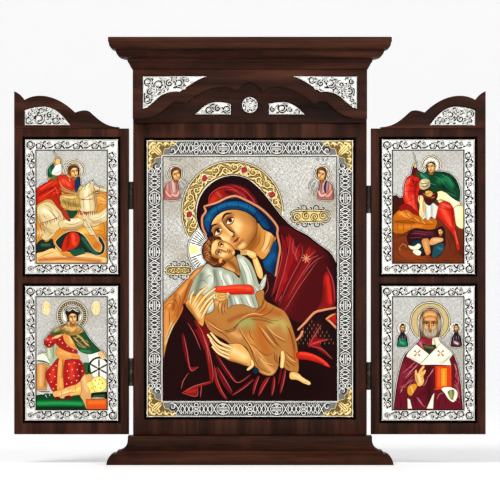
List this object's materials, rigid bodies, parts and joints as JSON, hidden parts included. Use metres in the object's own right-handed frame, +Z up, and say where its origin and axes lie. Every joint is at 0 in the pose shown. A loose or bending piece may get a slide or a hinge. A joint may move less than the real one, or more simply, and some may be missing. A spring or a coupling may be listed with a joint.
{
  "type": "triptych altarpiece",
  "caption": "Standing wooden triptych with hinged folding wings, painted icons under pressed silver covers, an arched frieze, and a moulded cornice and base.",
  "frame": {"origin": "middle of the base's underside, at half the object's depth", "axes": "+X to the right as seen from the front, +Y to the back, +Z up; the front faces -Y"},
  "size_m": [0.341, 0.045, 0.3074],
  "materials": {
    "dark_wood": "dark red-brown stain under satin lacquer",
    "painted_panel": "painted and varnished",
    "silver_sheet": "polished, with dark recesses and parts gilt",
    "dark_bronze": "dark patina, rubbed bright on the knuckles",
    "red_stone": "polished"
  },
  "bodies": {
    "cabinet": {"base": "dark_wood", "cornice": "dark_wood", "frieze": "dark_wood", "half_moon_plate_left": "silver_sheet", "half_moon_plate_right": "silver_sheet", "halo_stone_1": "red_stone", "halo_stone_2": "red_stone", "halo_stone_3": "red_stone", "halo_stone_4": "red_stone", "lower_left_hinge_fixed_leaf": "dark_bronze", "lower_left_hinge_pin": "dark_bronze", "lower_right_hinge_fixed_leaf": "dark_bronze", "lower_right_hinge_pin": "dark_bronze", "main_icon_cover": "silver_sheet", "main_icon_panel": "painted_panel", "medallion": "silver_sheet", "middle_board": "dark_wood", "spandrel_plate_left": "silver_sheet", "spandrel_plate_right": "silver_sheet", "tympanum": "dark_wood", "upper_left_hinge_fixed_leaf": "dark_bronze", "upper_left_hinge_pin": "dark_bronze", "upper_right_hinge_fixed_leaf": "dark_bronze", "upper_right_hinge_pin": "dark_bronze"},
    "left_wing": {"crest_plate_left": "silver_sheet", "left_wing_board": "dark_wood", "left_wing_crest": "dark_wood", "lower_left_hinge_wing_leaf": "dark_bronze", "lower_left_icon_cover": "silver_sheet", "lower_left_icon_panel": "painted_panel", "upper_left_hinge_wing_leaf": "dark_bronze", "upper_left_icon_cover": "silver_sheet", "upper_left_icon_panel": "painted_panel"},
    "right_wing": {"crest_plate_right": "silver_sheet", "lower_right_hinge_wing_leaf": "dark_bronze", "lower_right_icon_cover": "silver_sheet", "lower_right_icon_panel": "painted_panel", "right_wing_board": "dark_wood", "right_wing_crest": "dark_wood", "upper_right_hinge_wing_leaf": "dark_bronze", "upper_right_icon_cover": "silver_sheet", "upper_right_icon_panel": "painted_panel"}
  },
  "joints": [
    {"name": "left_wing_hinge", "type": "hinge", "parent": "cabinet", "child": "left_wing", "pos_m": [-0.086, 0.0079, 0.13], "axis": [0, 0, 1], "range_deg": [0, 180]},
    {"name": "right_wing_hinge", "type": "hinge", "parent": "cabinet", "child": "right_wing", "pos_m": [0.086, 0.0079, 0.13], "axis": [0, 0, -1], "range_deg": [0, 180]}
  ]
}
